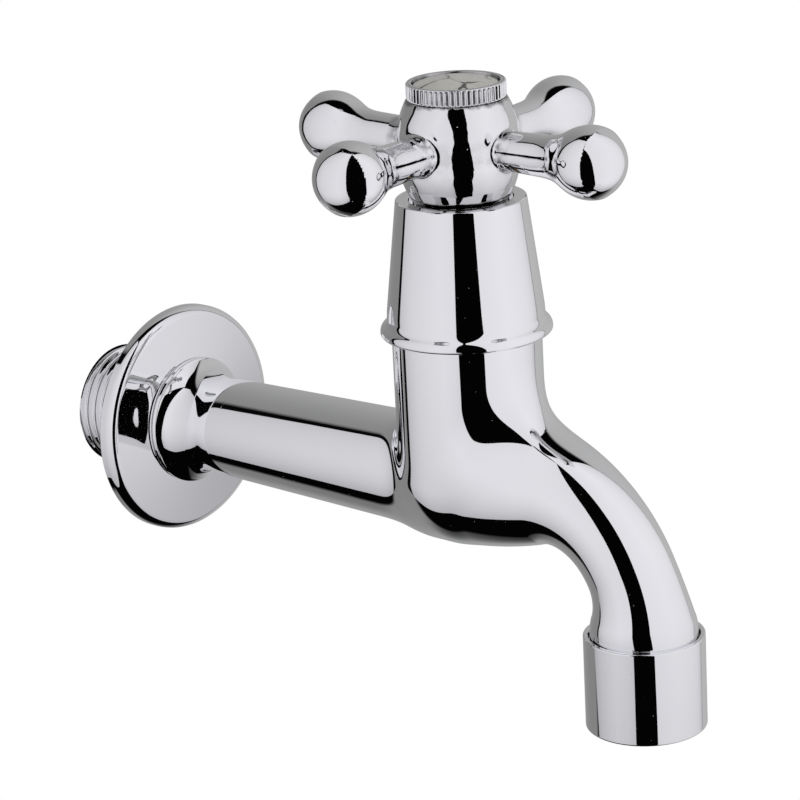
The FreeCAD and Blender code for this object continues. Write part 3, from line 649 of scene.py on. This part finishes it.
def moulded(name, pale, dark, rough_low, rough_high, grain_mm=0.25, depth_mm=0.01):
    """Rubber, fibre or plastic: fine grain, slight colour change, worn gloss."""
    n = Nodes(name)
    colour = n.mix(n.ramp(n.noise(1.8, 4.0, 0.6), 0.3, 0.7), pale, dark)
    rough = n.ramp(n.noise(0.8, 3.0), 0.3, 0.7, rough_low, rough_high)
    normal = n.bump(n.noise(grain_mm, 3.0), depth_mm)
    return n.finish(Base_Color=colour, Roughness=rough, Normal=normal)


def enamel(name):
    """Ivory enamel with fine dark veins under a clear gloss."""
    n = Nodes(name)
    cloud = n.ramp(n.noise(4.0, 4.0, 0.6), 0.3, 0.7)
    base = n.mix(cloud, (0.68, 0.66, 0.58, 1), (0.80, 0.78, 0.70, 1))
    bent = n.add("ShaderNodeMixRGB", blend_type="ADD")
    bent.inputs["Fac"].default_value = 1.0
    warp = n.add("ShaderNodeTexNoise")
    warp.inputs["Scale"].default_value = 1.0 / (3.0 * MM)
    n.link(n.where, warp.inputs["Vector"])
    shrink = n.add("ShaderNodeVectorMath", operation="SCALE")
    shrink.inputs["Scale"].default_value = 3.0 * MM
    n.link(warp.outputs["Color"], shrink.inputs[0])
    n.link(n.where, bent.inputs["Color1"])
    n.link(shrink.outputs["Vector"], bent.inputs["Color2"])
    vein = n.add("ShaderNodeTexVoronoi", feature="DISTANCE_TO_EDGE")
    vein.inputs["Scale"].default_value = 1.0 / (6.0 * MM)
    n.link(bent.outputs["Color"], vein.inputs["Vector"])
    dark = n.ramp(vein.outputs["Distance"], 0.02, 0.055, 1.0, 0.0)
    patch = n.ramp(n.noise(5.0, 1.0), 0.45, 0.55)
    colour = n.mix(n.math("MULTIPLY", dark, patch), base, (0.05, 0.045, 0.04, 1))
    normal = n.bump(n.noise(1.5, 2.0), 0.002)
    return n.finish(Base_Color=colour, Roughness=n.ramp(cloud, 0.0, 1.0, 0.12, 0.2), Normal=normal,
                    Coat_Weight=0.7, Coat_Roughness=0.03)


# ======================= Pieces =======================
def thread_relief(along, radius, theta):
    """The helical groove of the inlet thread, rounded at crest and root, fading at both ends."""
    turn = (along / INLET_PITCH + theta / (2 * math.pi)) % 1.0
    height = np.clip(np.abs(turn - 0.5) * THREAD_SLOPE - THREAD_FLAT, 0.0, 1.0)
    height = height * height * (3 - 2 * height)
    outside = (radius > INLET_R - 0.02) & (along < THREAD_END_X)
    return np.where(outside, (height - 1.0) * THREAD_DEPTH, 0.0)


def inlet_outline():
    """Collar, undercut, thread and bore of the inlet end, closed, as (along X, radius)."""
    flare = []
    for past in np.linspace(SEAM_OVERLAP, 0.1, 8):
        flare.append((SEAM_X + past, tube_radius(SEAM_X + past) - SEAM_DIP * past ** 2, None))
    for x in np.linspace(SEAM_X, FLARE_START, 120):
        t = max(0.0, (FLARE_END - x) / (FLARE_END - FLARE_START))
        waist = WAIST_DEPTH * math.exp(-((x - WAIST_X) / WAIST_SPREAD) ** 2)
        flare.append((x, tube_radius(x) - waist + (COLLAR_R - 0.3 - tube_radius(FLARE_START)) * t ** 4, None))
    lip = [(COLLAR_X + 0.85, COLLAR_R, 0.22), (COLLAR_X, COLLAR_R, 0.3)]
    relief = [(COLLAR_X, RELIEF_R, 0.1), (RELIEF_X, RELIEF_R, 0.1)]
    crest = [(x, INLET_R, None) for x in np.arange(CREST_START_X, INLET_END + 1.0, -CREST_STEP)]
    chamfer = [(INLET_END + 0.9, INLET_R - 0.05, 0.1), (INLET_END, INLET_R - 1.05, 0.15)]
    end = chamfer + [(INLET_END, INLET_BORE_R, 0.3)]
    inside = SEAM_X + 1.5
    floor = [(6.0, INLET_BORE_R, 0.2), (6.0, PLUG_R, 0.2)]
    bore = floor + [(inside, PLUG_R, 0.2), (inside, TUBE_R - 0.8, None)]
    return rounded(flare + lip + relief + crest + end + bore)


def flange_outline():
    """The stamped rosette: rounded rim, shallow cone, hollow behind, as (along X, radius)."""
    top = FLANGE_HIGH[0]
    face = [(FLANGE_RIM + (top - FLANGE_RIM) * t, FLANGE_R + (FLANGE_HOLE_R - FLANGE_R) * t, None)
            for t in np.linspace(0.26, 0.95, 12)]
    back = [(along - FLANGE_WALL, radius, None) for along, radius, _ in reversed(face)]
    return rounded(
        [(0.0, FLANGE_R, 0.15), (FLANGE_RIM, FLANGE_R, FLANGE_RIM_FILLET)] + face
        + [(top, FLANGE_HOLE_R, 0.12), (top - FLANGE_WALL, FLANGE_HOLE_R, 0.12)] + back
        + [(FLANGE_RIM - FLANGE_WALL, FLANGE_R - FLANGE_WALL, 0.3), (0.0, FLANGE_R - FLANGE_WALL, 0.15)]
    )


def shroud_outline():
    """The conical cover with its rolled lip, as (Z, radius), closed through its hollow inside."""
    low = SHROUD_LOW[2]
    top = SHROUD_HIGH[2]
    lip = [(low, LIP_R, 0.5), (low + 1.25, LIP_R - 0.05, 1.4), (low + 2.3, CONE_R + 0.08, 1.8)]
    cone = [(top - (top - low - 4.0) * t, CONE_TOP_R + (CONE_R - CONE_TOP_R) * t, None)
            for t in np.linspace(1.0, 0.08, 9)]
    rim = [(top, CONE_TOP_R, 0.28), (top, SHROUD_MOUTH_R, 0.2), (SHROUD_SEAT_TOP, SHROUD_MOUTH_R, 0.2)]
    seat = [(SHROUD_SEAT_TOP, SHROUD_THREAD_R, 0.1), (SHROUD_SEAT_LOW, SHROUD_THREAD_R, 0.1)]
    hollow = [(SHROUD_SEAT_LOW, 9.9, 0.3), (29.0, 11.7, 0.5), (26.9, SHROUD_SKIRT_R, 0.3)]
    return rounded(lip + cone + rim + seat + hollow + [(low, SHROUD_SKIRT_R, 0.1)])


def sleeve_outline():
    """The outlet sleeve with its thin bevelled mouth, as (Z, radius)."""
    low = SLEEVE_LOW[2]
    top = SLEEVE_HIGH[2]
    return rounded([
        (low, SLEEVE_R, 0.35),
        (top, SLEEVE_R, 0.22),
        (top, SLEEVE_MOUTH_R + 0.2, 0.12),
        (top - 0.5, SLEEVE_MOUTH_R, 0.2),
        (SLEEVE_SEAT_Z, SLEEVE_MOUTH_R, 0.1),
        (SLEEVE_SEAT_Z, SLEEVE_THREAD_R, 0.1),
        (SLEEVE_LIP_TOP, SLEEVE_THREAD_R, 0.1),
        (SLEEVE_LIP_TOP, SLEEVE_LIP_R, 0.15),
        (low, SLEEVE_LIP_R, 0.4),
    ])


def knurl_relief(along, radius, theta):
    """Straight teeth round the cap ring, rounded off at its two edges."""
    low = CAP_TOP - KNURL_HEIGHT
    fade = np.clip((along - low) / 0.3, 0, 1) * np.clip((CAP_TOP - along - 0.12) / 0.25, 0, 1)
    wave = (0.5 - 0.5 * np.cos(KNURL_TEETH * theta)) ** 1.4
    return np.where(radius > KNURL_R - KNURL_BAND, -KNURL_DEPTH * wave * fade, 0.0)


def cap_ring_outline():
    """The knurled cap ring with the recess for its disc, as (Z, radius)."""
    low = CAP_TOP - KNURL_HEIGHT
    recess_r = DISC_R + DISC_GAP
    side = [(z, KNURL_R, None) for z in np.linspace(low + 0.35, CAP_TOP - 0.4, 12)]
    rim = [(CAP_TOP, KNURL_R, 0.3), (CAP_TOP, DISC_R + 0.3, 0.15)]
    recess = [(CAP_TOP - RECESS_DEPTH, recess_r, 0.1), (DISC_BOTTOM, recess_r, 0.1)]
    bore = [(DISC_BOTTOM, CAP_BORE_R, 0.1), (CAP_LOW[2], CAP_BORE_R, 0.2)]
    stem = [(CAP_LOW[2], CAP_STEM_R, 0.2), (low, CAP_STEM_R, 0.1)]
    return rounded([(low, KNURL_R, 0.3)] + side + rim + recess + bore + stem)


def disc_outline():
    """The shallow domed disc, as (Z, radius)."""
    edge = DISC_TOP - DISC_RISE
    crown = [(edge + DISC_RISE * (1 - (r / DISC_R) ** 2), r, None)
             for r in np.linspace(0.02, DISC_R - 0.35, 24)]
    return rounded(crown + [(edge, DISC_R, 0.16), (DISC_BOTTOM, DISC_R, 0.1), (DISC_BOTTOM, 0.02, None)])


def gauze(name, z, radius, pitch=0.62, wire_r=0.085):
    """Woven wire cloth: two sets of waved wires clipped to a circle."""
    points = []
    faces = []
    sides = 6
    count = int(radius / pitch)
    for across in (0, 1):
        for k in range(-count, count + 1):
            offset = k * pitch
            half = math.sqrt(radius ** 2 - offset ** 2)
            steps = max(4, int(half * 2 / (pitch / 4)))
            start = len(points)
            for i in range(steps + 1):
                s = -half + 2 * half * i / steps
                sign = 1 if (k + across) % 2 else -1
                lift = sign * wire_r * math.cos(math.pi * s / pitch)
                for j in range(sides):
                    turn = 2 * math.pi * j / sides
                    side = offset + wire_r * math.cos(turn)
                    height = z + lift + wire_r * math.sin(turn)
                    points.append((s, side, height) if across == 0 else (side, s, height))
            for i in range(steps):
                for j in range(sides):
                    a = start + i * sides + j
                    b = start + i * sides + (j + 1) % sides
                    face = (a, b, b + sides, a + sides)
                    faces.append(face if across == 0 else (b, a, a + sides, b + sides))
            first = tuple(range(start, start + sides))
            last = tuple(range(start + steps * sides, start + (steps + 1) * sides))
            faces.extend([first[::-1], last] if across == 0 else [first, last[::-1]])
    moved = np.array(points) + np.array([OUTLET_X, 0.0, 0.0])
    return mesh_piece(name, moved, faces)


def wear(piece, material, body, slot, *nodes):
    """Gives a new piece its material and its body, and hides the CAD nodes that it stands for; slot is not
    used.
    """
    piece.data.materials.append(material)
    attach(piece, body)
    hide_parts(*nodes)


def repaint(material, *nodes):
    """Gives CAD nodes a better material on their own meshes."""
    for node in nodes:
        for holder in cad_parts[node].material_slots:
            holder.material = material


BODY_CHROME = chrome("body_chrome")
TRIM_CHROME = chrome("trim_chrome", wave_mm=0.003)
KNURLED = knurled_chrome("knurled_chrome")
SHEET_CHROME = chrome("sheet_chrome", wave_mm=0.008, pit_depth=0.01)
HANDLE_CHROME = cast_chrome("handle_chrome")

wear(
    turned("inlet_end", inlet_outline(), None, ROUND_POINTS, thread_relief),
    BODY_CHROME, "root", "chrome_body", "body",
)
wear(
    skin("body_skin", body_distance, (SEAM_X - 2.0, -BODY_HALF_WIDTH, SPOUT_END_Z - 1.0),
         (BODY_FAR_X, BODY_HALF_WIDTH, NECK_TOP + 1.0), BODY_STEP),
    BODY_CHROME, "root", "chrome_body", "body",
)
wear(
    turned("flange_skin", flange_outline(), None, ROUND_POINTS),
    SHEET_CHROME, "flange", "chrome_sheet", "wall_flange",
)
wear(
    turned("shroud_skin", shroud_outline(), SPINDLE_X, ROUND_POINTS),
    TRIM_CHROME, "root", "chrome_trim", "shroud",
)
wear(
    turned("sleeve_skin", sleeve_outline(), OUTLET_X, ROUND_POINTS),
    TRIM_CHROME, "root", "chrome_trim", "aerator_housing",
)
reach = ARM_SPAN + 1.0
wear(
    skin("handle_skin", handle_distance, (SPINDLE_X - reach, -reach, HUB_BOTTOM - 1.0),
         (SPINDLE_X + reach, reach, HUB_TOP + 1.0), HANDLE_STEP),
    HANDLE_CHROME, "handle", "chrome_handle", "handle",
)
wear(
    turned("cap_ring", cap_ring_outline(), SPINDLE_X, KNURL_TEETH * POINTS_PER_TOOTH, knurl_relief),
    KNURLED, "handle", "chrome_trim", "index_ring",
)
wear(
    turned("cap_disc", disc_outline(), SPINDLE_X, DISC_POINTS),
    enamel("ivory_enamel"), "handle", "enamel", "index_disc",
)
GAUZE = turned_metal("gauze_wire", (0.62, 0.62, 0.63, 1), (0.5, 0.5, 0.5, 1), 0.2, 0.35, 0.05)
for i, height in enumerate((SCREEN_LOW[2] + GAUZE_INSET, SCREEN_HIGH[2] - GAUZE_INSET)):
    wear(gauze("gauze_%d" % i, height, GAUZE_R), GAUZE, "root", "gauze", "aerator_screens")

repaint(turned_metal("bare_brass", (0.78, 0.56, 0.26, 1), (0.62, 0.42, 0.17, 1), 0.18, 0.4),
        "bonnet", "spindle", "valve_piston", "washer_nut")
repaint(moulded("black_rubber", (0.025, 0.025, 0.025, 1), (0.04, 0.04, 0.042, 1), 0.5, 0.75),
        "spindle_o_rings", "seat_washer", "aerator_washer")
repaint(moulded("red_fibre", (0.33, 0.05, 0.03, 1), (0.25, 0.035, 0.02, 1), 0.5, 0.8), "bonnet_washer")
repaint(moulded("white_slip", (0.8, 0.8, 0.77, 1), (0.7, 0.7, 0.67, 1), 0.3, 0.45), "thrust_washer")
repaint(moulded("acetal", (0.72, 0.73, 0.73, 1), (0.62, 0.63, 0.63, 1), 0.35, 0.5), "aerator_core",
        "aerator_diffuser")
repaint(turned_metal("zinc_plate", (0.6, 0.6, 0.62, 1), (0.45, 0.45, 0.47, 1), 0.25, 0.4), "spindle_clip",
        "handle_screw", "screw_washer")

# ======================= Camera =======================
CAMERA_AZIMUTH = math.radians(41.2)
CAMERA_ELEVATION = math.radians(17.4)
CAMERA_ROLL = math.radians(-2.95)
CAMERA_DISTANCE = 548.5
CAMERA_TARGET = Vector((51.05, 0.0, 11.25))
CAMERA_LENS = 150.5

back = Vector((
    math.sin(CAMERA_AZIMUTH) * math.cos(CAMERA_ELEVATION),
    -math.cos(CAMERA_AZIMUTH) * math.cos(CAMERA_ELEVATION),
    math.sin(CAMERA_ELEVATION),
))
level = Vector((math.cos(CAMERA_AZIMUTH), math.sin(CAMERA_AZIMUTH), 0.0))
upright = back.cross(level)
right = math.cos(CAMERA_ROLL) * level + math.sin(CAMERA_ROLL) * upright
up = -math.sin(CAMERA_ROLL) * level + math.cos(CAMERA_ROLL) * upright

camera_data = bpy.data.cameras.new("camera")
camera_data.lens = CAMERA_LENS
camera_data.sensor_width = 36.0
camera_data.clip_start = 0.01
camera_data.clip_end = 20.0
camera = bpy.data.objects.new("camera", camera_data)
turn = Matrix((right, up, back)).transposed()
camera.matrix_world = Matrix.Translation((CAMERA_TARGET + back * CAMERA_DISTANCE) * MM) @ turn.to_4x4()
bpy.context.scene.collection.objects.link(camera)
bpy.context.scene.camera = camera

# ======================= Studio =======================
# The studio is laid out about the spindle axis: "across" runs to the camera's right, "near" towards it.
ACROSS = level
NEAR = Vector((back.x, back.y, 0.0)).normalized()
GREY_LEFT = 0.24
GREY_RIGHT = 0.50
DIM_FROM_Z = -150.0
DIM_TO_Z = 20.0
DIM_LOW = 0.68
DIM_HIGH = 1.08
FLOOR_DROP = 40.0
FLOOR_HALF_WIDTH = 3000.0


def studio_point(across, near, z):
    """A place in the studio, in metres."""
    return (Vector((SPINDLE_X, 0.0, 0.0)) + ACROSS * across + NEAR * near + Vector((0.0, 0.0, z))) * MM


def softbox(name, rows, levels):
    """A glowing curtain through rows of (across, near, z) points, seen only by reflection.

    levels are its brightnesses at places across; it dims towards its lower edge."""
    width = len(rows[0])
    points = [tuple(studio_point(*corner) / MM) for row in rows for corner in row]
    faces = []
    for i in range(len(rows) - 1):
        for j in range(width - 1):
            a = i * width + j
            faces.append((a, a + 1, a + 1 + width, a + width))
    curtain = mesh_piece(name, points, faces)
    material = bpy.data.materials.new(name)
    material.use_nodes = True
    tree = material.node_tree
    tree.nodes.clear()
    across = tree.nodes.new("ShaderNodeVectorMath")
    across.operation = "DOT_PRODUCT"
    across.inputs[1].default_value = tuple(ACROSS)
    tree.links.new(tree.nodes.new("ShaderNodeTexCoord").outputs["Object"], across.inputs[0])
    fall = tree.nodes.new("ShaderNodeValToRGB")
    while len(fall.color_ramp.elements) < len(levels):
        fall.color_ramp.elements.new(0.5)
    start = SPINDLE_X * ACROSS.x + levels[0][0]
    span = levels[-1][0] - levels[0][0]
    for element, (place_across, brightness) in zip(fall.color_ramp.elements, levels):
        element.position = (place_across - levels[0][0]) / span
        element.color = (brightness * 0.965, brightness * 0.96, brightness, 1.0)
    share = tree.nodes.new("ShaderNodeMapRange")
    share.inputs["From Min"].default_value = start * MM
    share.inputs["From Max"].default_value = (start + span) * MM
    tree.links.new(across.outputs["Value"], share.inputs["Value"])
    tree.links.new(share.outputs["Result"], fall.inputs["Fac"])
    apart = tree.nodes.new("ShaderNodeSeparateXYZ")
    tree.links.new(tree.nodes.new("ShaderNodeTexCoord").outputs["Object"], apart.inputs["Vector"])
    dimmer = tree.nodes.new("ShaderNodeMapRange")
    dimmer.interpolation_type = "SMOOTHSTEP"
    dimmer.inputs["From Min"].default_value = DIM_FROM_Z * MM
    dimmer.inputs["From Max"].default_value = DIM_TO_Z * MM
    dimmer.inputs["To Min"].default_value = DIM_LOW
    dimmer.inputs["To Max"].default_value = DIM_HIGH
    tree.links.new(apart.outputs["Z"], dimmer.inputs["Value"])
    glow = tree.nodes.new("ShaderNodeEmission")
    tree.links.new(fall.outputs["Color"], glow.inputs["Color"])
    tree.links.new(dimmer.outputs["Result"], glow.inputs["Strength"])
    output = tree.nodes.new("ShaderNodeOutputMaterial")
    tree.links.new(glow.outputs["Emission"], output.inputs["Surface"])
    curtain.data.materials.append(material)
    curtain.visible_camera = False
    curtain.visible_shadow = False


softbox("left_softbox", [
    [(-38.5, 137.0, 620.0), (-104.0, 38.0, 520.0), (-194.0, -96.0, 420.0)],
    [(-38.5, 137.0, 0.0), (-104.0, 38.0, 0.0), (-194.0, -96.0, 0.0)],
    [(-26.0, 137.0, -70.0), (-104.0, 38.0, -70.0), (-194.0, -96.0, -70.0)],
    [(-26.0, 137.0, -130.0), (-104.0, 38.0, -125.0), (-194.0, -96.0, -80.0)],
], [
    (-194.0, 0.002), (-171.5, 0.002), (-170.0, 0.55), (-120.0, 0.68),
    (-70.0, 0.77), (-45.0, 0.74), (-26.0, 0.68),
])
softbox("right_softbox", [
    [(-45.0, 79.0, 560.0), (99.0, 2.0, 560.0), (312.0, -190.0, 560.0)],
    [(23.5, 79.0, 57.0), (99.0, 2.0, 57.0), (312.0, -190.0, 57.0)],
    [(39.5, 79.0, -50.0), (99.0, 2.0, -50.0), (312.0, -190.0, -50.0)],
    [(45.0, 79.0, -130.0), (99.0, 2.0, -200.0), (312.0, -190.0, -330.0)],
], [
    (-45.0, 0.76), (25.0, 0.76), (60.0, 0.82), (120.0, 0.75),
    (288.0, 0.58), (289.0, 0.002), (312.0, 0.002),
])


def studio_world():
    """Grey behind, dark overhead and in front, darker grey underneath; the camera itself sees white."""
    world = bpy.data.worlds.new("studio")
    world.use_nodes = True
    tree = world.node_tree
    nodes = tree.nodes
    links = tree.links
    nodes.clear()
    where = nodes.new("ShaderNodeTexCoord").outputs["Generated"]

    def towards(direction):
        node = nodes.new("ShaderNodeVectorMath")
        node.operation = "DOT_PRODUCT"
        node.inputs[1].default_value = direction
        links.new(where, node.inputs[0])
        return node.outputs["Value"]

    def step(source, low, high, out_low, out_high):
        node = nodes.new("ShaderNodeMapRange")
        node.interpolation_type = "SMOOTHSTEP"
        for key, value in (("From Min", low), ("From Max", high), ("To Min", out_low), ("To Max", out_high)):
            node.inputs[key].default_value = value
        links.new(source, node.inputs["Value"])
        return node.outputs["Result"]

    def times(a, b):
        node = nodes.new("ShaderNodeMath")
        node.operation = "MULTIPLY"
        links.new(a, node.inputs[0])
        links.new(b, node.inputs[1])
        return node.outputs["Value"]

    behind = step(towards(tuple(NEAR)), -0.38, -0.28, 1.0, 0.0)
    below_zenith = step(towards((0, 0, 1)), 0.95, 0.985, 1.0, 0.0)
    above_nadir = step(towards((0, 0, -1)), 0.66, 0.92, 1.0, 0.12)
    grey = times(times(behind, below_zenith), above_nadir)
    surround = nodes.new("ShaderNodeMix")
    surround.data_type = "RGBA"
    surround.inputs["A"].default_value = (0.0012, 0.0010, 0.0010, 1)
    level_grey = step(towards(tuple(ACROSS)), -0.8, 0.8, GREY_LEFT, GREY_RIGHT)
    links.new(level_grey, surround.inputs["B"])
    links.new(grey, surround.inputs["Factor"])
    seen = nodes.new("ShaderNodeLightPath")
    direct = nodes.new("ShaderNodeMix")
    direct.data_type = "RGBA"
    direct.inputs["B"].default_value = (1, 1, 1, 1)
    links.new(seen.outputs["Is Camera Ray"], direct.inputs["Factor"])
    links.new(surround.outputs["Result"], direct.inputs["A"])
    background = nodes.new("ShaderNodeBackground")
    links.new(direct.outputs["Result"], background.inputs["Color"])
    output = nodes.new("ShaderNodeOutputWorld")
    links.new(background.outputs["Background"], output.inputs["Surface"])
    bpy.context.scene.world = world


studio_world()


def pale_floor():
    """A plain white floor that the camera sees from above; from below it lets the view through."""
    z = SLEEVE_LOW[2] - FLOOR_DROP
    half = FLOOR_HALF_WIDTH
    corners = [(-half, -half, z), (half, -half, z), (half, half, z), (-half, half, z)]
    floor = mesh_piece("floor", corners, [(0, 1, 2, 3)])
    material = bpy.data.materials.new("pale_floor")
    material.use_nodes = True
    tree = material.node_tree
    tree.nodes.clear()
    side = tree.nodes.new("ShaderNodeNewGeometry")
    glow = tree.nodes.new("ShaderNodeEmission")
    clear = tree.nodes.new("ShaderNodeBsdfTransparent")
    choose = tree.nodes.new("ShaderNodeMixShader")
    output = tree.nodes.new("ShaderNodeOutputMaterial")
    tree.links.new(side.outputs["Backfacing"], choose.inputs["Fac"])
    tree.links.new(glow.outputs["Emission"], choose.inputs[1])
    tree.links.new(clear.outputs["BSDF"], choose.inputs[2])
    tree.links.new(choose.outputs["Shader"], output.inputs["Surface"])
    floor.data.materials.append(material)
    floor.visible_glossy = False
    floor.visible_diffuse = False
    floor.visible_shadow = False
    floor.visible_transmission = False


pale_floor()
bpy.context.scene.view_settings.view_transform = "Standard"
